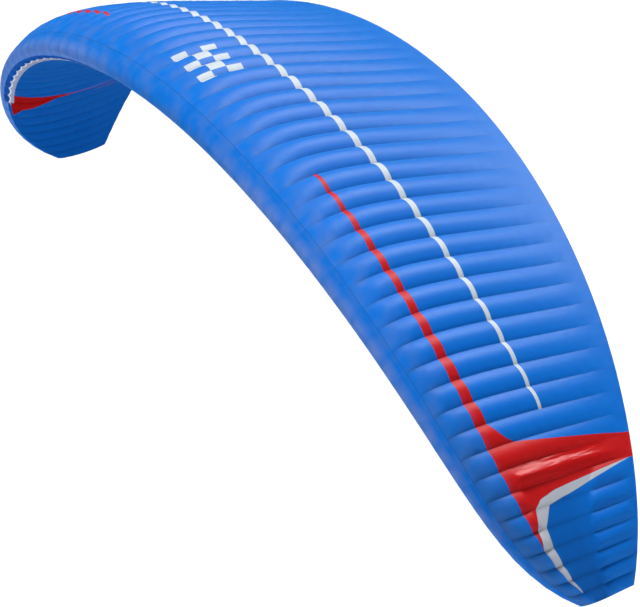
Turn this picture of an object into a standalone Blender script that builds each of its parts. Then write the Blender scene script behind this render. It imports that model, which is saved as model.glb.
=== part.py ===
"""Inflated ram-air paraglider wing: sixty cloth cells between sixty-one rib lines.

Frame: +X towards the right wing tip, -Y towards the leading edge, +Z up, in metres.
Origin: on the lower skin under the middle rib, where the pull of the lines is centred.

The cloth follows one curved surface. A place on it is a rib number (0 in the middle, 30 at
the right tip, -30 at the left tip) and a signed chord fraction (0 on the leading edge, +1 at
the trailing edge of the upper skin, -1 at the trailing edge of the lower skin).
"""
import math

import bpy
import numpy as np

# ---- Driving dimensions -------------------------------------------------------------------
CELLS_PER_HALF = 30
HALF_SPAN = 6.20          # along the arc, from the middle rib to a tip, laid flat
CLOTH = 0.002             # thickness of every sheet and rib plate
PIECE_GAP = 0.0006        # between the edges of neighbouring sheets
RIB_GAP = 0.0005          # between a rib plate and the skins around it
TRAILING_HALF = 0.0030    # half height of the trailing edge, outside to outside
HANG_FRACTION = 0.30      # signed chord fraction under which the lines' pull is centred

# Each table gives terms of a polynomial in the span fraction: power, then size.
ARC_TILT_DEG = ((1, 38.7), (3, 9.9), (5, 29.9))
LEADING_EDGE_M = ((2, 0.067), (4, 0.265), (8, 0.074), (16, 0.369))
TRAILING_EDGE_M = ((0, 2.297), (2, -0.876), (4, -0.169), (8, 0.061), (16, -0.066))
RIGGING_DEG = ((0, 5.7), (2, -2.0))
CELL_TAPER = 0.252        # how much wider than average the middle cells are

# Section of the wing, as fractions of the local chord.
THICKNESS = 0.195
CAMBER = 0.013
CAMBER_AT = 0.30
REFLEX = 0.147
THICKNESS_TERMS = ((0.5, 0.2969), (1, -0.1260), (2, -0.3516), (3, 0.2843), (4, -0.1036))

# Seams and inlets, as signed chord fractions.
NOSE_SEAM = 0.048         # between the nose sheet and the upper skin
INLET_LIP = -0.012        # lower edge of the nose sheet, which is the inlet's upper lip
INLET_SILL = -0.040       # front edge of the band in the middle of a cell
INLET_POINT = -0.030      # front edge of the band at a rib, where it rises to a point
BAND_SEAM = -0.065        # between the band and the lower skin
RIB_END = 0.94            # where a rib plate stops, short of the trailing edge

UPPER_ROWS = (NOSE_SEAM, 0.14, 0.30, 0.50, 0.75, 1.0)
NOSE_ROWS = (INLET_LIP, -0.004, 0.003, 0.018, NOSE_SEAM)
LOWER_ROWS = (-1.0, -0.50, -0.20, BAND_SEAM)
CLOSED_NOSE_ROWS = (INLET_POINT,) + NOSE_ROWS
CLOSED_LOWER_ROWS = LOWER_ROWS + (INLET_POINT,)

# Crown of a cell above its ribs, as a share of the cell's width: chord fraction, share.
UPPER_CROWN = ((0.048, 0.0), (0.14, 0.10), (0.30, 0.13), (0.50, 0.12), (0.75, 0.08), (1.0, 0.03))
LOWER_CROWN = ((0.065, 0.0), (0.20, 0.04), (0.50, 0.05), (1.0, 0.015))

# Ribs where one spanwise section of sheets ends and the next begins, in each half.
SECTION_RIBS = (0, 6, 12, 17, 22, 30)
INLET_END = 22            # the cells outside this rib have a closed nose

UPPER_STEPS = 3           # facets across a cell
LOWER_STEPS = 2
NOSE_STEPS = 1
BAND_STEPS = 2

# Name of each cloth: red, green, blue, roughness.
CLOTHS = {
    "upper_cloth": (0.045, 0.19, 0.72, 0.45),
    "nose_cloth": (0.012, 0.16, 0.68, 0.45),
    "band_cloth": (0.78, 0.80, 0.82, 0.5),
    "lower_cloth": (0.004, 0.075, 0.33, 0.5),
    "rib_cloth": (0.60, 0.63, 0.66, 0.6),
}


# ---- Shape of the wing --------------------------------------------------------------------
def polynomial(terms, value):
    """Sum of size * value ** power over a table of terms."""
    return sum(size * value ** power for power, size in terms)


def arc_table():
    """Span fraction, sideways place and height of the arc, in small steps from the middle."""
    fraction = np.linspace(0.0, 1.0, 401)
    tilt = np.radians([polynomial(ARC_TILT_DEG, a) for a in fraction])
    step = HALF_SPAN / 400
    across = np.concatenate([[0.0], np.cumsum((np.cos(tilt[1:]) + np.cos(tilt[:-1])) / 2)]) * step
    down = np.concatenate([[0.0], np.cumsum((np.sin(tilt[1:]) + np.sin(tilt[:-1])) / 2)]) * step
    return fraction, across, -down


ARC = arc_table()


def span_fraction(rib):
    """Distance from the middle along the arc at a rib number, as a share of the half span."""
    share = abs(rib) / CELLS_PER_HALF
    return share * (1 + CELL_TAPER) - CELL_TAPER * share ** 3


def cell_width(rib):
    """Width of the cloth cell that the rib number lies in."""
    inner = math.floor(abs(rib) - 1e-6)
    return HALF_SPAN * (span_fraction(inner + 1) - span_fraction(max(inner, 0)))


def section_height(signed):
    """Height of the section above its chord line, as a share of the chord."""
    x = abs(signed)
    half = 5 * THICKNESS * polynomial(THICKNESS_TERMS, x)
    if x < CAMBER_AT:
        line = CAMBER / CAMBER_AT ** 2 * (2 * CAMBER_AT * x - x * x)
    else:
        line = CAMBER / (1 - CAMBER_AT) ** 2 * (1 - 2 * CAMBER_AT + 2 * CAMBER_AT * x - x * x)
    line -= REFLEX * x * x * (1 - x)
    return line + math.copysign(half, signed)


def rib_plane(rib):
    """Middle of the arc at a rib, its outward direction across the cloth, and along the span."""
    a = span_fraction(rib)
    side = -1.0 if rib < 0 else 1.0
    tilt = math.radians(polynomial(ARC_TILT_DEG, a)) * side
    place = np.array([np.interp(a, ARC[0], ARC[1]) * side, 0.0, np.interp(a, ARC[0], ARC[2])])
    outward = np.array([math.sin(tilt), 0.0, math.cos(tilt)])
    along = np.array([math.cos(tilt), 0.0, -math.sin(tilt)])
    return place, outward, along


def raw_point(rib, signed):
    """A place on the cloth's outer face before the origin is moved to the hang point."""
    a = span_fraction(rib)
    place, outward, _ = rib_plane(rib)
    front = polynomial(LEADING_EDGE_M, a)
    chord = polynomial(TRAILING_EDGE_M, a) - front
    back = abs(signed) * chord
    rise = section_height(signed) * chord + math.copysign(TRAILING_HALF * abs(signed), signed)
    pitch = math.radians(polynomial(RIGGING_DEG, a))
    y = front + back * math.cos(pitch) + rise * math.sin(pitch)
    height = rise * math.cos(pitch) - back * math.sin(pitch)
    return place + outward * height + np.array([0.0, y, 0.0])


HANG_POINT = raw_point(0, -HANG_FRACTION)


def base_point(rib, signed):
    """A place on the outer face of the cloth, with no crown."""
    return raw_point(rib, signed) - HANG_POINT


def base_normal(rib, signed):
    """Outward direction of the cloth in the rib's plane."""
    root = math.copysign(math.sqrt(abs(signed)), signed)
    ahead = min(root + 0.004, 1.0)
    behind = max(root - 0.004, -1.0)
    tangent = (base_point(rib, math.copysign(ahead ** 2, ahead))
               - base_point(rib, math.copysign(behind ** 2, behind)))
    normal = np.cross(tangent, rib_plane(rib)[2])
    return -normal / np.linalg.norm(normal)


def crown(rib, signed):
    """How far the inflated cloth stands out from the straight line between its two ribs."""
    table = UPPER_CROWN if signed > 0 else LOWER_CROWN
    share = np.interp(abs(signed), [row[0] for row in table], [row[1] for row in table])
    across = abs(rib) - math.floor(abs(rib))
    return cell_width(rib) * share * 4 * across * (1 - across)


def between_ribs(measure, rib, signed):
    """A measure of the cloth at a rib number, on the straight line between its two ribs."""
    left = min(math.floor(rib), CELLS_PER_HALF - 1)
    share = rib - left
    return measure(left, signed) * (1 - share) + measure(left + 1, signed) * share


def cloth_normal(rib, signed):
    """Outward direction of the cloth at a rib number."""
    return between_ribs(base_normal, rib, signed)


def cloth_point(rib, signed):
    """A place on the outer face of the inflated cloth."""
    return between_ribs(base_point, rib, signed) + cloth_normal(rib, signed) * crown(rib, signed)


# ---- Solids -------------------------------------------------------------------------------
def add_object(name, points, faces, cloth):
    """Make a named object with its cloth's material from points and faces."""
    mesh = bpy.data.meshes.new(name)
    mesh.from_pydata([tuple(point) for point in points], [], faces)
    mesh.update()
    mesh.materials.append(bpy.data.materials[cloth])
    item = bpy.data.objects.new(name, mesh)
    bpy.context.scene.collection.objects.link(item)
    return item


def pull_in(grid):
    """Draw the four edges of a grid of points in by half the gap between pieces."""
    trimmed = grid.copy()
    for edge, inner in ((0, 1), (-1, -2)):
        step = grid[inner] - grid[edge]
        trimmed[edge] += step / np.linalg.norm(step, axis=-1, keepdims=True) * PIECE_GAP / 2
        step = grid[:, inner] - grid[:, edge]
        trimmed[:, edge] += step / np.linalg.norm(step, axis=-1, keepdims=True) * PIECE_GAP / 2
    return trimmed


def sheet(name, stations, rows, cloth, row_at=None):
    """A sheet of cloth between its first and last station and its first and last row.

    row_at gives the signed chord fraction of a row at a station, where an edge isn't even.
    """
    place = row_at or (lambda rib, signed: signed)
    outer = np.array([[cloth_point(rib, place(rib, signed)) for signed in rows] for rib in stations])
    inward = np.array([[cloth_normal(rib, place(rib, signed)) for signed in rows] for rib in stations])
    outer = pull_in(outer)
    inner = outer - inward * CLOTH
    across, along = len(stations), len(rows)
    half = across * along

    def index(i, j, face):
        return face * half + i * along + j

    # Both faces of the sheet are split along the same diagonal, which mirrors from half to half.
    faces = []
    for i in range(across - 1):
        for j in range(along - 1):
            ring = [(i, j), (i + 1, j), (i + 1, j + 1), (i, j + 1)]
            if stations[0] < 0:
                ring = ring[1:] + ring[:1]
            for triangle in ((ring[0], ring[1], ring[2]), (ring[0], ring[2], ring[3])):
                faces.append([index(a, b, 0) for a, b in triangle])
                faces.append([index(a, b, 1) for a, b in reversed(triangle)])
    rim = [(i, 0) for i in range(across)] + [(across - 1, j) for j in range(1, along)]
    rim += [(i, along - 1) for i in range(across - 2, -1, -1)] + [(0, j) for j in range(along - 2, 0, -1)]
    for here, there in zip(rim, rim[1:] + rim[:1]):
        faces.append([index(*there, 0), index(*here, 0), index(*here, 1), index(*there, 1)])
    points = np.concatenate([outer.reshape(-1, 3), inner.reshape(-1, 3)])
    return add_object(name, points, faces, cloth)


def section_stations(first, last, side, steps):
    """Rib numbers of the facet lines of a section, from left to right."""
    stations = [first + step / steps for step in range((last - first) * steps + 1)]
    return stations if side > 0 else [-rib for rib in reversed(stations)]


def band_edge(rib, signed):
    """The band's front edge rises to a point at each rib and its other rows are even."""
    at_rib = abs(rib - round(rib)) < 1e-6
    return INLET_POINT if signed == INLET_SILL and at_rib else signed


def facet_point(rib, signed, rows):
    """A place on the straight line between the two rows that a chord fraction lies between."""
    for low, high in zip(rows, rows[1:]):
        if low <= signed <= high:
            share = (signed - low) / (high - low)
            ends = [base_point(rib, row) - base_normal(rib, row) * (CLOTH + RIB_GAP) for row in (low, high)]
            return ends[0] * (1 - share) + ends[1] * share
    raise ValueError("the chord fraction lies outside the rows")


def rib_plate(name, rib, shift):
    """A flat rib that fills the section between the skins, moved inwards by shift."""
    rows = CLOSED_LOWER_ROWS + NOSE_ROWS + UPPER_ROWS[1:]
    inner_rows = [row for row in rows if abs(row) < RIB_END]
    outline = [facet_point(rib, row, rows) for row in [-RIB_END] + inner_rows + [RIB_END]]
    along = rib_plane(rib)[2]
    centre = -along * math.copysign(shift, rib)
    count = len(outline)
    points = [p + centre + along * CLOTH / 2 for p in outline]
    points += [p + centre - along * CLOTH / 2 for p in outline]
    faces = [list(range(count))[::-1], list(range(count, 2 * count))]
    faces += [[i, (i + 1) % count, count + (i + 1) % count, count + i] for i in range(count)]
    return add_object(name, points, faces, "rib_cloth")


# ---- The wing -----------------------------------------------------------------------------
def clear_scene():
    for item in list(bpy.data.objects):
        bpy.data.objects.remove(item)


def make_cloths():
    for name, (red, green, blue, roughness) in CLOTHS.items():
        material = bpy.data.materials.new(name)
        material.use_nodes = True
        shader = material.node_tree.nodes["Principled BSDF"]
        shader.inputs["Base Color"].default_value = (red, green, blue, 1.0)
        shader.inputs["Roughness"].default_value = roughness
        shader.inputs["Metallic"].default_value = 0.0


def make_section(number, first, last, side, side_name):
    """The sheets between two section ribs of one half."""
    label = f"{side_name}_{number}"
    closed = first >= INLET_END
    nose_rows = CLOSED_NOSE_ROWS if closed else NOSE_ROWS
    lower_rows = CLOSED_LOWER_ROWS if closed else LOWER_ROWS
    nose = section_stations(first, last, side, NOSE_STEPS)
    band = section_stations(first, last, side, BAND_STEPS)
    sheet(f"upper_skin_{label}", section_stations(first, last, side, UPPER_STEPS), UPPER_ROWS, "upper_cloth")
    sheet(f"nose_{label}", nose, nose_rows, "nose_cloth")
    sheet(f"lower_skin_{label}", section_stations(first, last, side, LOWER_STEPS), lower_rows, "lower_cloth")
    if not closed:
        sheet(f"inlet_band_{label}", band, (BAND_SEAM, INLET_SILL), "band_cloth", band_edge)


def main():
    clear_scene()
    make_cloths()
    rib_plate("rib_middle", 0, 0.0)
    for side, side_name in ((1, "right"), (-1, "left")):
        for number, (first, last) in enumerate(zip(SECTION_RIBS, SECTION_RIBS[1:]), start=1):
            make_section(number, first, last, side, side_name)
            at_tip = last == CELLS_PER_HALF
            rib_plate(f"rib_{side_name}_{last:02d}", side * last, CLOTH * 0.65 if at_tip else 0.0)


main()
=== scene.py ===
import math

import bpy
import numpy as np
from mathutils import Matrix, Vector


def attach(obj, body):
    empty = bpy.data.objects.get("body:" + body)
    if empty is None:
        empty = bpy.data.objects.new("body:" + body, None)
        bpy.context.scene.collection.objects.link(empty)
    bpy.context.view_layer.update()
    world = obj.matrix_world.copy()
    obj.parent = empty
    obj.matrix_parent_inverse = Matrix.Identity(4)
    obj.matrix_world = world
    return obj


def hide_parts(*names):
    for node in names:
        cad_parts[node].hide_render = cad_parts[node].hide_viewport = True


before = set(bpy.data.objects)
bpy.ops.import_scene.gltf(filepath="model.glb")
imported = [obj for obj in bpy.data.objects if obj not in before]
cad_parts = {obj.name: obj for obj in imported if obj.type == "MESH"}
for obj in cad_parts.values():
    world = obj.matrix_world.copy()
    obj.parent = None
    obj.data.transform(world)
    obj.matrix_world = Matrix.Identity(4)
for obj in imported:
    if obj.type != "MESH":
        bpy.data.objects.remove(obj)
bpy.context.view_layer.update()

# ---- Dimensions that the CAD was built from ----
CELLS_PER_HALF = 30
HALF_SPAN = 6.20
TRAILING_HALF = 0.0030
HANG_FRACTION = 0.30
ARC_TILT_DEG = ((1, 38.7), (3, 9.9), (5, 29.9))
LEADING_EDGE_M = ((2, 0.067), (4, 0.265), (8, 0.074), (16, 0.369))
TRAILING_EDGE_M = ((0, 2.297), (2, -0.876), (4, -0.169), (8, 0.061), (16, -0.066))
RIGGING_DEG = ((0, 5.7), (2, -2.0))
CELL_TAPER = 0.252
THICKNESS = 0.195
CAMBER = 0.013
CAMBER_AT = 0.30
REFLEX = 0.147
THICKNESS_TERMS = ((0.5, 0.2969), (1, -0.1260), (2, -0.3516), (3, 0.2843), (4, -0.1036))
NOSE_SEAM = 0.048
INLET_LIP = -0.012
INLET_SILL = -0.040
INLET_POINT = -0.030
BAND_SEAM = -0.065
RIB_END = 0.94
SECTION_RIBS = (0, 6, 12, 17, 22, 30)
INLET_END = 22

# ---- Dimensions of the visible cloth ----
# Thicknesses and gathers are in metres. Places along the section are chord fractions.
CLOTH = 0.0012            # thickness of the sheets shown
RIB_INSET = 0.0026        # from the outer face of the cloth to a rib's edge
UPPER_CROWN = 0.180       # stand of a cell above its ribs behind the nose, share of its width
UPPER_CROWN_RISE = ((0, 0.090), (10, 0.085), (17, 0.060), (22, 0.038), (30, 0.034))  # by rib
UPPER_CROWN_RISE_POWER = 1.4
UPPER_CROWN_FALL = 0.92   # share of it that is lost by the rear of the chord
UPPER_CROWN_FALL_POWER = 2.2
TRAILING_CROWN = 0.40     # share of what is left that stands at the trailing edge
TRAILING_CROWN_FROM = 0.86
LOWER_CROWN = 0.050
LOWER_CROWN_RISE = 0.060
LOWER_CROWN_FALL = 0.70

# Gathers of the cloth beside a rib seam.
PUCKER_DEPTH = 0.0008
PUCKER_LENGTH = 0.115
PUCKER_REACH = 0.040
PUCKER_SHIFT = 2.3        # of phase, from one cell to the next
PUCKER_SWAY = 1.7         # slow change of phase along the chord, and its rate
PUCKER_SWAY_RATE = 3.1
PUCKER_START = (0.06, 0.14)
PUCKER_END = (0.93, 1.0)

# The tip cells are drawn flat by a short brace in the middle of the chord and fill behind it.
TIP_BRACE_FROM = 23       # rib number
TIP_BRACE_START = 0.26
TIP_BRACE_END = ((22.0, 0.78), (24.4, 0.652), (26.4, 0.60), (28.4, 0.53), (30.0, 0.50))  # by rib
TIP_BRACE_START_FADE = 0.03
TIP_BRACE_END_FADE = 0.022
TIP_BRACE_PULL = 0.80     # share of the crown that it takes away
TIP_REAR_CROWN = 0.09     # extra crown behind it, share of the cell's width
TIP_REAR_FADE = (0.9, 1.0)
TIP_FRONT_BULGE = 0.05    # extra crown just ahead of it
TIP_FRONT_RISE = (0.10, 0.20)
TIP_FRONT_FALL = 0.22

# One cell just inside the braced ones is blown up tight, to a ridge.
FULL_CELL = 22
FULL_START = (0.23, 0.27)
FULL_END = (0.72, 0.95)
FULL_STAND = 0.35         # of the ridge, as a share of the cell's width
FULL_RIDGE = 0.55         # where the ridge lies across the cell
FULL_ROUNDING = 0.10
FULL_REAR_FROM = 0.24     # the ridge sinks and its inner side grows hollow behind this
FULL_REAR_LENGTH = 0.60
FULL_REAR_HOLLOW = 0.9
FULL_REAR_LOSS = 0.6

# Facets across a cell and rows along the chord.
UPPER_ACROSS, UPPER_ALONG = 12, 84
LOWER_ACROSS, LOWER_ALONG = 8, 56
NOSE_ACROSS, NOSE_ALONG = 12, 16
BAND_ACROSS, BAND_ALONG = 12, 4
SKIN_EASE, NOSE_EASE = 0.75, 0.5   # powers that draw the rows together near the leading edge


# ---- Shape of the wing ----
ARC_STEPS = 400
NORMAL_STEP = 0.004       # of the root of the chord fraction, to each side of a place


def polynomial(terms, value):
    """Sum of size * value ** power over a table of terms."""
    return sum(size * value ** power for power, size in terms)


def arc_table():
    """Span fraction, sideways place and height of the arc, in small steps from the middle."""
    fraction = np.linspace(0.0, 1.0, ARC_STEPS + 1)
    tilt = np.radians(polynomial(ARC_TILT_DEG, fraction))
    step = HALF_SPAN / ARC_STEPS
    across = np.concatenate([[0.0], np.cumsum((np.cos(tilt[1:]) + np.cos(tilt[:-1])) / 2)]) * step
    down = np.concatenate([[0.0], np.cumsum((np.sin(tilt[1:]) + np.sin(tilt[:-1])) / 2)]) * step
    return fraction, across, -down


ARC = arc_table()


def span_fraction(rib):
    """Distance along the arc from the middle to a rib number, as a share of the half span."""
    share = np.abs(rib) / CELLS_PER_HALF
    return share * (1 + CELL_TAPER) - CELL_TAPER * share ** 3


def cell_width(rib):
    """Width of the cloth cell that a rib number lies in."""
    inner = np.maximum(np.floor(np.abs(rib) - 1e-6), 0)
    return HALF_SPAN * (span_fraction(inner + 1) - span_fraction(inner))


def chord_length(rib):
    a = span_fraction(rib)
    return polynomial(TRAILING_EDGE_M, a) - polynomial(LEADING_EDGE_M, a)


def section_height(signed):
    """Height of the section above its chord line, as a share of the chord."""
    x = np.abs(signed)
    half = 5 * THICKNESS * polynomial(THICKNESS_TERMS, x)
    ahead = CAMBER / CAMBER_AT ** 2 * (2 * CAMBER_AT * x - x * x)
    behind = CAMBER / (1 - CAMBER_AT) ** 2 * (1 - 2 * CAMBER_AT + 2 * CAMBER_AT * x - x * x)
    line = np.where(x < CAMBER_AT, ahead, behind) - REFLEX * x * x * (1 - x)
    return line + np.copysign(half, signed)


def rib_plane(rib):
    """Middle of the arc at a rib, its outward direction across the cloth, and along the span."""
    a = span_fraction(rib)
    side = np.where(rib < 0, -1.0, 1.0)
    tilt = np.radians(polynomial(ARC_TILT_DEG, a)) * side
    none = np.zeros_like(tilt)
    place = np.stack([np.interp(a, ARC[0], ARC[1]) * side, none, np.interp(a, ARC[0], ARC[2])], -1)
    outward = np.stack([np.sin(tilt), none, np.cos(tilt)], -1)
    along = np.stack([np.cos(tilt), none, -np.sin(tilt)], -1)
    return place, outward, along


def raw_point(rib, signed):
    """A place on the cloth's outer face before the origin is moved to the hang point."""
    a = span_fraction(rib)
    place, outward, _ = rib_plane(rib)
    chord = chord_length(rib)
    back = np.abs(signed) * chord
    rise = section_height(signed) * chord + np.copysign(TRAILING_HALF * np.abs(signed), signed)
    pitch = np.radians(polynomial(RIGGING_DEG, a))
    y = polynomial(LEADING_EDGE_M, a) + back * np.cos(pitch) + rise * np.sin(pitch)
    height = rise * np.cos(pitch) - back * np.sin(pitch)
    return place + outward * height[..., None] + np.stack([0 * y, y, 0 * y], -1)


HANG_POINT = raw_point(np.array(0.0), np.array(-HANG_FRACTION))


def base_point(rib, signed):
    """A place on the outer face of the cloth, with no crown."""
    return raw_point(rib, signed) - HANG_POINT


def base_normal(rib, signed):
    """Outward direction of the cloth in the rib's plane."""
    root = np.copysign(np.sqrt(np.abs(signed)), signed)
    ahead = np.minimum(root + NORMAL_STEP, 1.0)
    behind = np.maximum(root - NORMAL_STEP, -1.0)
    tangent = (base_point(rib, np.copysign(ahead ** 2, ahead))
               - base_point(rib, np.copysign(behind ** 2, behind)))
    normal = -np.cross(tangent, rib_plane(rib)[2])
    return normal / np.linalg.norm(normal, axis=-1, keepdims=True)


def smooth_step(value, low, high):
    share = np.clip((value - low) / (high - low), 0.0, 1.0)
    return share * share * (3 - 2 * share)


def fullness(rib, signed):
    """1 where the fullest cell is blown up tight, 0 elsewhere."""
    x = np.abs(signed)
    in_full = np.where((np.floor(np.abs(rib)) == FULL_CELL) & (signed > 0), 1.0, 0.0)
    return in_full * smooth_step(x, *FULL_START) * (1 - smooth_step(x, *FULL_END))


def full_stand(across, signed):
    """Stand of the fullest cell, which rises to a ridge and falls off steeply beyond it."""
    rearward = np.clip((np.abs(signed) - FULL_REAR_FROM) / FULL_REAR_LENGTH, 0, 1)
    rise = (across / FULL_RIDGE) ** (1 + FULL_REAR_HOLLOW * rearward ** 2)
    fall = (1 - across) / (1 - FULL_RIDGE)
    lower = (rise + fall - np.sqrt((rise - fall) ** 2 + FULL_ROUNDING ** 2)) / 2
    return FULL_STAND * (1 - FULL_REAR_LOSS * rearward) * np.maximum(lower, 0)


def crown_share(rib, signed):
    """Stand of the middle of a cell above its ribs, as a share of the cell's width."""
    r, x = np.abs(rib), np.abs(signed)
    rise = np.interp(r, *zip(*UPPER_CROWN_RISE))
    upper = 1 - np.exp(-(np.maximum(x - NOSE_SEAM, 0) / rise) ** UPPER_CROWN_RISE_POWER)
    upper = UPPER_CROWN * upper * (1 - UPPER_CROWN_FALL * x ** UPPER_CROWN_FALL_POWER)
    upper = upper * (1 - (1 - TRAILING_CROWN) * smooth_step(x, TRAILING_CROWN_FROM, 1.0))
    at_tip = np.where(r >= TIP_BRACE_FROM, 1.0, 0.0)
    brace_end = np.interp(r, *zip(*TIP_BRACE_END))
    start, fade = TIP_BRACE_START, TIP_BRACE_START_FADE
    braced = smooth_step(x, start - fade, start + fade)
    freed = smooth_step(x, brace_end - TIP_BRACE_END_FADE, brace_end + TIP_BRACE_END_FADE)
    braced = braced * (1 - freed)
    behind = freed * (1 - smooth_step(x, *TIP_REAR_FADE))
    bulge = smooth_step(x, *TIP_FRONT_RISE) * (1 - smooth_step(x, TIP_FRONT_FALL, TIP_BRACE_START))
    upper = upper * (1 - TIP_BRACE_PULL * braced * at_tip)
    upper = upper + (TIP_REAR_CROWN * behind + TIP_FRONT_BULGE * bulge) * at_tip
    lower = 1 - np.exp(-np.maximum(x + BAND_SEAM, 0) / LOWER_CROWN_RISE)
    lower = LOWER_CROWN * lower * (1 - LOWER_CROWN_FALL * x)
    return np.where(signed > 0, upper, lower)


def cloth_place(rib, signed):
    """Places on the outer face of the inflated cloth, and its outward directions."""
    x = np.abs(signed)
    left = np.minimum(np.floor(rib), CELLS_PER_HALF - 1)
    share = (rib - left)[..., None]
    point = base_point(left, signed) * (1 - share) + base_point(left + 1, signed) * share
    normal = base_normal(left, signed) * (1 - share) + base_normal(left + 1, signed) * share
    across = np.abs(rib) - np.floor(np.abs(rib))
    width = cell_width(rib)
    full = fullness(rib, signed)
    stand = crown_share(rib, signed) * 4 * across * (1 - across) * (1 - full)
    stand = width * (stand + full_stand(across, signed) * full)
    seam = np.minimum(across, 1 - across) * width
    run = x * chord_length(rib)
    sway = PUCKER_SWAY * np.sin(PUCKER_SWAY_RATE * run)
    gather = np.sin(2 * math.pi * run / PUCKER_LENGTH + PUCKER_SHIFT * np.floor(rib) + sway)
    gather *= seam / PUCKER_REACH * np.exp(1 - seam / PUCKER_REACH) * PUCKER_DEPTH
    gather *= smooth_step(x, *PUCKER_START) * (1 - smooth_step(x, *PUCKER_END))
    return point + normal * (stand + gather)[..., None], normal


# ---- Meshes ----
def thicken(points, normals, quads, thickness):
    """Points and quads of a closed sheet from those of its outer layer, and its rim's edges."""
    count = len(points)
    edges = np.concatenate([quads[:, [k, (k + 1) % 4]] for k in range(4)])
    low, high = edges.min(1).astype(np.int64), edges.max(1).astype(np.int64)
    _, first, times = np.unique(low * count + high, return_index=True, return_counts=True)
    rim = edges[np.sort(first[times == 1])]
    sides = np.stack([rim[:, 1], rim[:, 0], rim[:, 0] + count, rim[:, 1] + count], axis=1)
    everything = np.concatenate([quads, quads[:, ::-1] + count, sides])
    return np.concatenate([points, points - normals * thickness]), everything, rim


def make_mesh(name, points, quads):
    """A smooth-shaded mesh from arrays of points and quads."""
    mesh = bpy.data.meshes.new(name)
    mesh.vertices.add(len(points))
    mesh.vertices.foreach_set("co", points.astype(np.float32).ravel())
    mesh.loops.add(quads.size)
    mesh.loops.foreach_set("vertex_index", quads.astype(np.int32).ravel())
    mesh.polygons.add(len(quads))
    mesh.polygons.foreach_set("loop_start", np.arange(0, quads.size, 4, dtype=np.int32))
    mesh.update(calc_edges=True)
    mesh.polygons.foreach_set("use_smooth", np.ones(len(quads), bool))
    return mesh


def mark_sharp(mesh, pairs):
    """Marks the edges between these pairs of vertices as creases."""
    total = len(mesh.vertices)
    ends = np.empty(len(mesh.edges) * 2, np.int32)
    mesh.edges.foreach_get("vertices", ends)
    ends = np.sort(ends.reshape(-1, 2).astype(np.int64), axis=1)
    wanted = np.sort(pairs.astype(np.int64), axis=1)
    sharp = np.isin(ends[:, 0] * total + ends[:, 1], wanted[:, 0] * total + wanted[:, 1])
    mesh.edges.foreach_set("use_edge_sharp", sharp)


def set_map(mesh, name, values):
    """A named map with a place for each corner of a face."""
    layer = mesh.uv_layers.new(name=name, do_init=False)
    layer.uv.foreach_set("vector", values.astype(np.float32).ravel())


def set_field(mesh, name, values):
    """A named vector on each vertex, which a material reads."""
    attribute = mesh.attributes.new(name, "FLOAT_VECTOR", "POINT")
    attribute.data.foreach_set("vector", values.astype(np.float32).ravel())


# Start and length in the bake map: of the outer and the inner face across, and of both up. The
# rim has a strip of its own below them.
BAKE_OUTER = (0.01, 0.74)
BAKE_INNER = (0.78, 0.21)
BAKE_UP = (0.02, 0.97)
BAKE_RIM = 0.008


def bake_map(chart, quads, rim_count):
    """Places of all corners in one square: outer face, inner face beside it, rim in a thin strip."""
    across, up = chart.T
    height = BAKE_UP[0] + BAKE_UP[1] * up
    outer, inner = (np.stack([start + length * across, height], -1)
                    for start, length in (BAKE_OUTER, BAKE_INNER))
    corners = np.concatenate([outer, inner])[quads]
    step = np.arange(rim_count) / rim_count
    ends = np.stack([step, step + 1 / rim_count, step + 1 / rim_count, step], -1)
    levels = np.tile([0.0, 0.0, BAKE_RIM, BAKE_RIM], (rim_count, 1))
    corners[len(quads) - rim_count:] = np.stack([ends, levels], -1)
    return corners


def finish_piece(name, mesh, material, nodes):
    """A visible piece that stands for CAD nodes."""
    piece = bpy.data.objects.new(name, mesh)
    bpy.context.scene.collection.objects.link(piece)
    mesh.materials.append(material)
    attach(piece, "root")
    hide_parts(*nodes)
    return piece


def grid_quads(index):
    """Quads between neighbours in a grid of vertex numbers."""
    corners = [index[:-1, :-1], index[1:, :-1], index[1:, 1:], index[:-1, 1:]]
    return np.stack(corners, -1).reshape(-1, 4)


def run_lengths(points, axis):
    """Distance along one way of a grid of points from its first row."""
    steps = np.linalg.norm(np.diff(points, axis=axis), axis=-1)
    start = np.zeros_like(np.take(steps, [0], axis=axis))
    return np.cumsum(np.concatenate([start, steps], axis=axis), axis=axis)


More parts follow.
